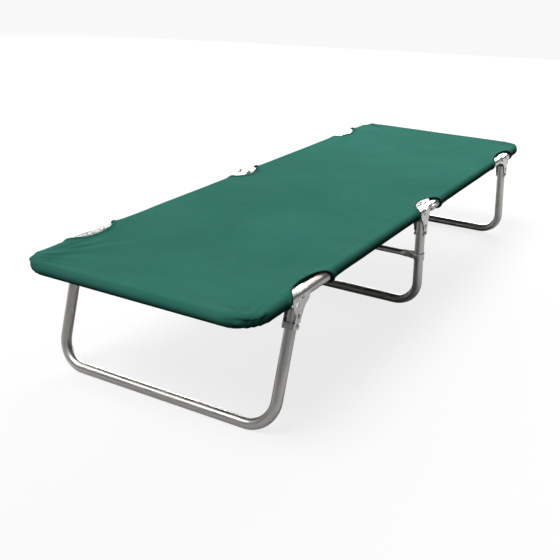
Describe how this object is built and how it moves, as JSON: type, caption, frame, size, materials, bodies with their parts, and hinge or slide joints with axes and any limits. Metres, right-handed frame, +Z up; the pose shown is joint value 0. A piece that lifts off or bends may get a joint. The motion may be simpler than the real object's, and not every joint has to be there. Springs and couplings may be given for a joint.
{
  "type": "folding cot",
  "caption": "Folding camp cot: green cloth cover on a hinged tubular frame with fold-away U-shaped legs in riveted saddle brackets.",
  "frame": {"origin": "on the floor, under the middle of the cot's outline", "axes": "+Z up, +Y along the length towards the far end (its leg is at +Y), +X across the width"},
  "size_m": [0.6178, 1.8294, 0.3119],
  "materials": {
    "frame_tube": "satin",
    "bracket_steel": "zinc plated, satin",
    "rivet_steel": "satin",
    "cover_cloth": "woven, matte"
  },
  "bodies": {
    "near_frame": {"near_half_frame": "frame_tube", "near_cover": "cover_cloth", "near_bracket_right": "bracket_steel", "near_bracket_left": "bracket_steel", "middle_bracket_right": "bracket_steel", "middle_bracket_left": "bracket_steel", "near_bracket_rivet_right": "rivet_steel", "near_bracket_rivet_left": "rivet_steel", "middle_bracket_rivet_right": "rivet_steel", "middle_bracket_rivet_left": "rivet_steel", "near_leg_pivot_rivet_right": "rivet_steel", "near_leg_pivot_rivet_left": "rivet_steel", "middle_leg_pivot_rivet_right": "rivet_steel", "middle_leg_pivot_rivet_left": "rivet_steel", "hinge_pin_right_outer": "rivet_steel", "hinge_pin_right_inner": "rivet_steel", "hinge_pin_left_outer": "rivet_steel", "hinge_pin_left_inner": "rivet_steel"},
    "far_frame": {"far_half_frame": "frame_tube", "far_cover": "cover_cloth", "far_bracket_right": "bracket_steel", "far_bracket_left": "bracket_steel", "far_bracket_rivet_right": "rivet_steel", "far_bracket_rivet_left": "rivet_steel", "far_leg_pivot_rivet_right": "rivet_steel", "far_leg_pivot_rivet_left": "rivet_steel", "hinge_strap_right_outer": "bracket_steel", "hinge_strap_right_inner": "bracket_steel", "hinge_strap_left_outer": "bracket_steel", "hinge_strap_left_inner": "bracket_steel", "hinge_strap_rivet_right_1": "rivet_steel", "hinge_strap_rivet_right_2": "rivet_steel", "hinge_strap_rivet_left_1": "rivet_steel", "hinge_strap_rivet_left_2": "rivet_steel"},
    "near_leg_set": {"near_leg": "frame_tube", "near_leg_lock_rivet_right": "rivet_steel", "near_leg_lock_rivet_left": "rivet_steel"},
    "middle_leg_set": {"middle_leg": "frame_tube", "middle_leg_brace": "frame_tube", "brace_collar_right": "bracket_steel", "brace_collar_left": "bracket_steel", "brace_rivet_right": "rivet_steel", "brace_rivet_left": "rivet_steel", "middle_leg_lock_rivet_right": "rivet_steel", "middle_leg_lock_rivet_left": "rivet_steel"},
    "far_leg_set": {"far_leg": "frame_tube", "far_leg_lock_rivet_right": "rivet_steel", "far_leg_lock_rivet_left": "rivet_steel"}
  },
  "joints": [
    {"name": "frame_fold", "type": "hinge", "parent": "near_frame", "child": "far_frame", "pos_m": [0, 0, 0.3055], "axis": [1, 0, 0], "range_deg": [0, 176]},
    {"name": "near_leg_fold", "type": "hinge", "parent": "near_frame", "child": "near_leg_set", "pos_m": [0, -0.733, 0.252], "axis": [1, 0, 0], "range_deg": [0, 107]},
    {"name": "middle_leg_fold", "type": "hinge", "parent": "near_frame", "child": "middle_leg_set", "pos_m": [0, -0.022, 0.252], "axis": [-1, 0, 0], "range_deg": [0, 94.5]},
    {"name": "far_leg_fold", "type": "hinge", "parent": "far_frame", "child": "far_leg_set", "pos_m": [0, 0.724, 0.252], "axis": [-1, 0, 0], "range_deg": [0, 102]}
  ]
}
